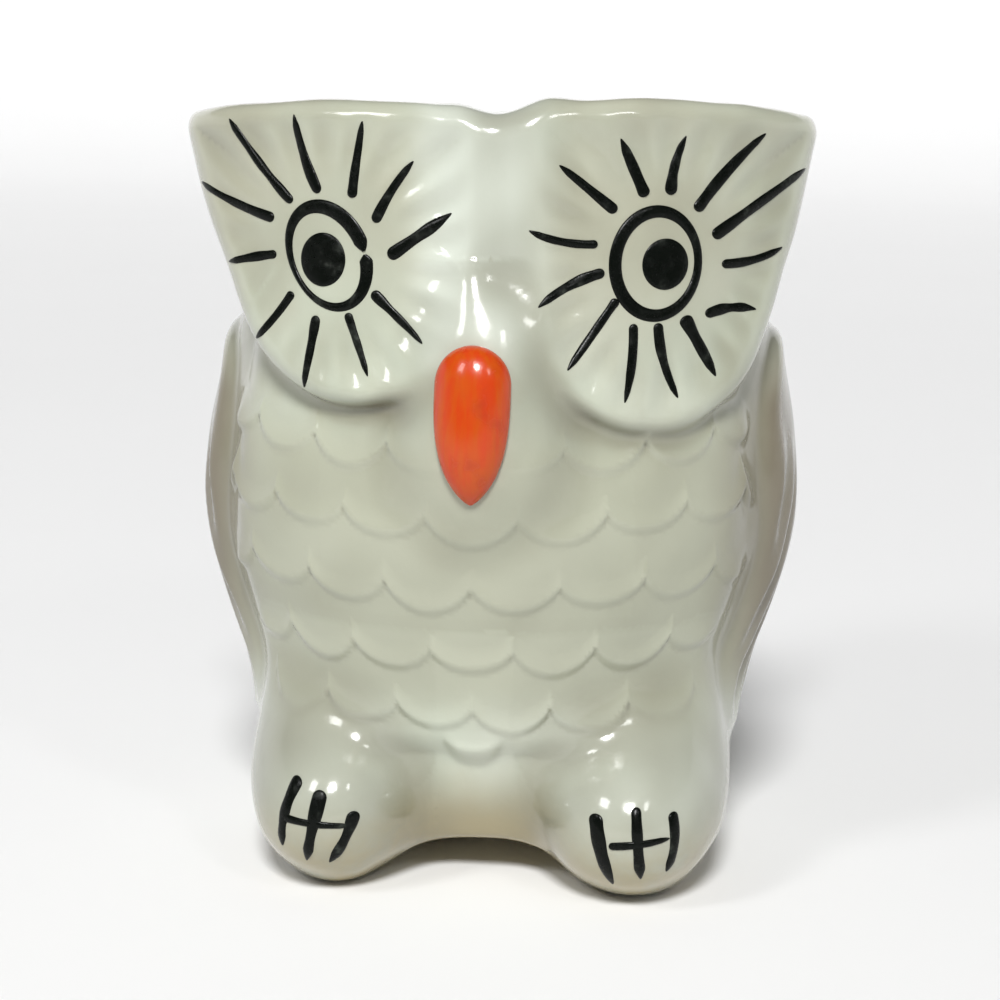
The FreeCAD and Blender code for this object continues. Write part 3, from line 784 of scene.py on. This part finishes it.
def beak_mesh():
    """The beak: a glossy drop with a round top, nearly straight sides and a blunt point below."""
    shares = even_shares(64)
    line = np.column_stack([np.full(len(shares), BEAK_TIP[0]), BEAK_TIP[1] + shares * BEAK_LENGTH])
    below = 1 - np.clip(shares / (1 - BEAK_ROUND_SHARE), 0, 1)
    above = np.clip((shares - 1 + BEAK_ROUND_SHARE) / BEAK_ROUND_SHARE, 0, 1)
    profile = (1 - below**3.2) ** 0.8 * np.sqrt(1 - above**2)
    return raised_mesh(line, BEAK_HALF_WIDTH * profile + 0.03, BEAK_HEIGHT * profile**0.8, 0.8)


# ---------------------------------------------------------------- materials


def add_node(tree, kind, inputs=None, **settings):
    """A shader node with its settings made and its inputs set or linked."""
    node = tree.nodes.new(kind)
    for name, value in settings.items():
        setattr(node, name, value)
    for socket, value in (inputs or {}).items():
        if isinstance(value, bpy.types.NodeSocket):
            tree.links.new(value, node.inputs[socket])
        else:
            node.inputs[socket].default_value = value
    return node


def noise(tree, place, scale, detail=3.0, stretch=(1, 1, 1)):
    """Cloudy noise, from 0 to 1, with scale features to the metre."""
    stretched = add_node(tree, "ShaderNodeMapping", {"Vector": place, "Scale": stretch}).outputs["Vector"]
    inputs = {"Vector": stretched, "Scale": scale, "Detail": detail, "Roughness": 0.55}
    return add_node(tree, "ShaderNodeTexNoise", inputs).outputs["Fac"]


def span(tree, value, low, high, at_low=0.0, at_high=1.0):
    """The value's place between low and high, eased, as a number from at_low to at_high."""
    inputs = {"Value": value, "From Min": low, "From Max": high, "To Min": at_low, "To Max": at_high}
    return add_node(tree, "ShaderNodeMapRange", inputs, interpolation_type="SMOOTHSTEP").outputs["Result"]


def times(tree, a, b):
    """Two numbers multiplied."""
    return add_node(tree, "ShaderNodeMath", {0: a, 1: b}, operation="MULTIPLY").outputs[0]


def blend(tree, share, first, second):
    """From the first colour to the second."""
    inputs = {0: share, 6: first, 7: second}
    return add_node(tree, "ShaderNodeMix", inputs, data_type="RGBA").outputs[2]


def bump(tree, height, strength, distance):
    """A normal that follows a height."""
    inputs = {"Height": height, "Strength": strength, "Distance": distance}
    return add_node(tree, "ShaderNodeBump", inputs).outputs["Normal"]


def new_material(name):
    """An empty node material: itself, its tree, its shader and the place on the object."""
    made = bpy.data.materials.new(name)
    made.use_nodes = True
    tree = made.node_tree
    place = add_node(tree, "ShaderNodeTexCoord").outputs["Object"]
    return made, tree, tree.nodes["Principled BSDF"], place


def set_shader(tree, shader, **values):
    """Sets or links the shader's sockets; an underscore in a name stands for a space."""
    for name, value in values.items():
        socket = shader.inputs[name.replace("_", " ")]
        if isinstance(value, bpy.types.NodeSocket):
            tree.links.new(value, socket)
        else:
            socket.default_value = value


# A lighter glaze colour, used as painted highlight where light falls on the bridge and the feet.
PAINTED_HIGHLIGHT_GLAZE = (0.62, 0.66, 0.58, 1)


def white_glaze():
    """Thick glossy glaze: cream with a green cast; lighter on the bridge and the feet as painted highlight,
    darker in creases and between the feet as painted shade, and browner at the sides as painted shade and
    thinner glaze.
    """
    made, tree, shader, place = new_material("white glaze")
    parts = add_node(tree, "ShaderNodeSeparateXYZ", {"Vector": place}).outputs
    height = parts["Z"]
    aside = add_node(tree, "ShaderNodeMath", {0: parts["X"]}, operation="ABSOLUTE").outputs[0]
    enclosed = add_node(tree, "ShaderNodeAttribute", attribute_name="enclosed").outputs["Fac"]
    cloud = noise(tree, place, 45)
    mottle = noise(tree, place, 160, 5)
    colour = blend(tree, span(tree, cloud, 0.35, 0.65), (0.50, 0.54, 0.44, 1), (0.54, 0.565, 0.475, 1))
    colour = blend(tree, span(tree, mottle, 0.4, 0.75, 0, 0.35), colour, (0.44, 0.44, 0.33, 1))
    # Darker and yellower over the head away from the middle, in cloudy patches.
    head_darkening = times(tree, span(tree, height, 0.052, 0.078), span(tree, cloud, 0.38, 0.6, 0.4, 0.8))
    head_darkening = times(tree, head_darkening, span(tree, aside, 0.004, 0.011))
    colour = blend(tree, head_darkening, colour, (0.40, 0.395, 0.30, 1))
    # Painted highlight: the bridge between the discs and the feet are made lighter, as where light falls on
    # them.
    bridge_highlight = times(tree, span(tree, height, 0.056, 0.066), span(tree, aside, 0.009, 0.003))
    colour = blend(tree, bridge_highlight, colour, PAINTED_HIGHLIGHT_GLAZE)
    feet_highlight = times(tree, span(tree, height, 0.026, 0.016), span(tree, aside, 0.006, 0.012))
    colour = blend(tree, feet_highlight, colour, PAINTED_HIGHLIGHT_GLAZE)
    # Painted shade: darker brown low down between the feet, under the arch of the base.
    shade_between_feet = times(tree, span(tree, height, 0.016, 0.007), span(tree, aside, 0.012, 0.006))
    colour = blend(tree, shade_between_feet, colour, (0.34, 0.31, 0.21, 1))
    belly = times(tree, span(tree, height, 0.018, 0.026), span(tree, height, 0.058, 0.050, 0, 0.9))
    colour = blend(tree, belly, colour, (0.41, 0.42, 0.325, 1))
    # Painted shade on the sides that turn away from the light: darker brown towards both sides, which also
    # stands for thinner glaze there.
    thin = times(tree, span(tree, aside, 0.024, 0.034), span(tree, height, 0.066, 0.054, 0, 0.95))
    thin = times(tree, thin, span(tree, height, 0.012, 0.024))
    colour = blend(tree, thin, colour, (0.17, 0.145, 0.105, 1))
    # Painted shade in recesses: darker in the valleys of the relief and nearly black-brown deep in the
    # creases, from how enclosed each point is.
    valley_shade = span(tree, enclosed, 0.05, 0.36, 0, 0.6)
    colour = blend(tree, valley_shade, colour, (0.21, 0.205, 0.145, 1))
    crease_shade = span(tree, enclosed, 0.25, 0.75, 0, 0.95)
    colour = blend(tree, crease_shade, colour, (0.10, 0.08, 0.045, 1))
    foot_tint = times(tree, span(tree, height, 0.013, 0.0005), span(tree, mottle, 0.3, 0.6, 0.3, 0.8))
    colour = blend(tree, foot_tint, colour, (0.38, 0.31, 0.16, 1))
    specks = add_node(tree, "ShaderNodeTexVoronoi", {"Vector": place, "Scale": 170.0})
    speck = times(tree, span(tree, specks.outputs["Distance"], 0.055, 0.035), span(tree, mottle, 0.6, 0.64))
    colour = blend(tree, speck, colour, (0.12, 0.08, 0.05, 1))
    roughness = span(tree, height, 0.0008, 0.0004, 0.16, 0.8)
    fine = noise(tree, place, 620, 2)
    normal = bump(tree, fine, 0.12, 0.0003)
    set_shader(tree, shader, Base_Color=colour, Roughness=roughness, Normal=normal)
    set_shader(tree, shader, Coat_Weight=0.35, Coat_Roughness=0.05, IOR=1.45)
    return made


def orange_enamel():
    """Glossy orange with upright brush streaks and a few redder and browner patches."""
    made, tree, shader, place = new_material("orange enamel")
    streaks = noise(tree, place, 900, 4, (1, 1, 0.12))
    patches = noise(tree, place, 260, 3)
    colour = blend(tree, span(tree, streaks, 0.35, 0.7), (0.53, 0.042, 0.003, 1), (0.50, 0.07, 0.002, 1))
    colour = blend(tree, span(tree, patches, 0.5, 0.75, 0, 0.6), colour, (0.38, 0.03, 0.008, 1))
    normal = bump(tree, streaks, 0.25, 0.0002)
    set_shader(tree, shader, Base_Color=colour, Roughness=span(tree, patches, 0.3, 0.7, 0.14, 0.3))
    set_shader(tree, shader, Normal=normal, Specular_IOR_Level=0.3, Coat_Weight=0.3, Coat_Roughness=0.06)
    return made


def black_enamel():
    """Brushed black: dense, with thinner grey patches where the brush ran dry."""
    made, tree, shader, place = new_material("black enamel")
    thin = noise(tree, place, 520, 5)
    grain = noise(tree, place, 2400, 3)
    dry = times(tree, span(tree, thin, 0.56, 0.76), span(tree, grain, 0.35, 0.65, 0.3, 1))
    colour = blend(tree, dry, (0.002, 0.003, 0.002, 1), (0.035, 0.04, 0.033, 1))
    normal = bump(tree, grain, 0.3, 0.0001)
    set_shader(tree, shader, Base_Color=colour, Roughness=span(tree, thin, 0.4, 0.7, 0.2, 0.45))
    set_shader(tree, shader, Normal=normal, Specular_IOR_Level=0.12, Coat_Weight=0.04, Coat_Roughness=0.1)
    return made


def floor_paint():
    """Pale matt paint with a faint unevenness."""
    made, tree, shader, place = new_material("floor paint")
    shade = noise(tree, place, 4)
    colour = blend(tree, shade, (0.84, 0.84, 0.84, 1), (0.87, 0.87, 0.87, 1))
    set_shader(tree, shader, Base_Color=colour, Roughness=0.9)
    return made


# ---------------------------------------------------------------- floor, light and camera


def stage_floor(material):
    """A pale floor that curves up to a wall far off all round, so that no edge shows."""
    flat, curve, steps, around = 1.4, 1.2, 14, 72
    bends = np.linspace(0, math.pi / 2, steps)
    radii = flat + curve * np.sin(bends)
    heights = curve * (1 - np.cos(bends))
    points = [(0.0, 0.0, 0.0)]
    for radius, height in zip(radii, heights):
        for angle in np.linspace(0, 2 * math.pi, around, endpoint=False):
            points.append((radius * math.cos(angle), radius * math.sin(angle), height))
    faces = [(0, 1 + i, 1 + (i + 1) % around) for i in range(around)]
    for row in range(steps - 1):
        for i in range(around):
            inner, following = 1 + row * around + i, 1 + row * around + (i + 1) % around
            faces.append((inner, inner + around, following + around, following))
    mesh = bpy.data.meshes.new("floor")
    mesh.from_pydata(points, [], faces)
    mesh.polygons.foreach_set("use_smooth", [True] * len(mesh.polygons))
    mesh.materials.append(material)
    floor = bpy.data.objects.new("floor", mesh)
    bpy.context.scene.collection.objects.link(floor)


LAMP_TARGET = Vector((0, 0, 0.045))
CAMERA_TARGET = Vector((0, AXIS_Y * MM, 0.0403))
CAMERA_AZIMUTH = 4.8
CAMERA_ELEVATION = 10.5
CAMERA_ROLL = 0.8
CAMERA_DISTANCE = 0.300
CAMERA_LENS = 86.4
CAMERA_SENSOR = 36


def way_out(azimuth, elevation):
    """The direction away from the owl, in degrees: azimuth 0 in front and growing to the owl's left."""
    azimuth, elevation = math.radians(azimuth), math.radians(elevation)
    level = math.cos(elevation)
    return Vector((math.sin(azimuth) * level, -math.cos(azimuth) * level, math.sin(elevation)))


def lamp(name, kind, power, azimuth, elevation, distance=2.0):
    """A lamp pointed at the owl."""
    light = bpy.data.lights.new(name, kind)
    light.energy = power
    holder = bpy.data.objects.new(name, light)
    away = way_out(azimuth, elevation)
    holder.location = LAMP_TARGET + away * distance
    holder.rotation_euler = (-away).to_track_quat("-Z", "Y").to_euler()
    bpy.context.scene.collection.objects.link(holder)
    return light


def window(name, power, width, height, azimuth, elevation, distance):
    """A small soft rectangle of light that shows as a window in the glaze."""
    light = lamp(name, "AREA", power, azimuth, elevation, distance)
    light.shape = "RECTANGLE"
    light.size, light.size_y = width, height


def camera():
    """The view that the figurine was seen from: close, a little above and to the owl's left."""
    away = way_out(CAMERA_AZIMUTH, CAMERA_ELEVATION)
    lens = bpy.data.cameras.new("camera")
    lens.sensor_width = CAMERA_SENSOR
    lens.lens = CAMERA_LENS
    lens.clip_start = 0.01
    holder = bpy.data.objects.new("camera", lens)
    holder.location = CAMERA_TARGET + away * CAMERA_DISTANCE
    turn = (-away).to_track_quat("-Z", "Y")
    turn.rotate(Quaternion(away, math.radians(CAMERA_ROLL)))
    holder.rotation_mode = "QUATERNION"
    holder.rotation_quaternion = turn
    bpy.context.scene.collection.objects.link(holder)
    bpy.context.scene.camera = holder


build_casting(white_glaze())
orange, black = orange_enamel(), black_enamel()
new_piece("painted_beak", "beak", "orange_enamel", orange, *beak_mesh())
for side in SIDES:
    for part, mesh_of in (
        ("eye_ring", ring_mesh),
        ("pupil", pupil_mesh),
        ("lashes", lash_mesh),
        ("claw_marks", claw_mesh),
    ):
        node = f"{side}_{part}"
        new_piece(f"painted_{node}", node, "black_enamel", black, *mesh_of(side))

stage_floor(floor_paint())
sun = lamp("sky light", "SUN", 3.1, 2, 46)
sun.angle = math.radians(14)
window("left window", 0.6, 0.10, 0.14, -42, 38, 0.55)
window("right window", 0.2, 0.05, 0.09, 36, 36, 0.55)
camera()
world = bpy.data.worlds.new("studio")
world.use_nodes = True
world.node_tree.nodes["Background"].inputs["Color"].default_value = (1.0, 1.0, 1.0, 1)
world.node_tree.nodes["Background"].inputs["Strength"].default_value = 0.12
bpy.context.scene.world = world
bpy.context.scene.view_settings.view_transform = "Standard"
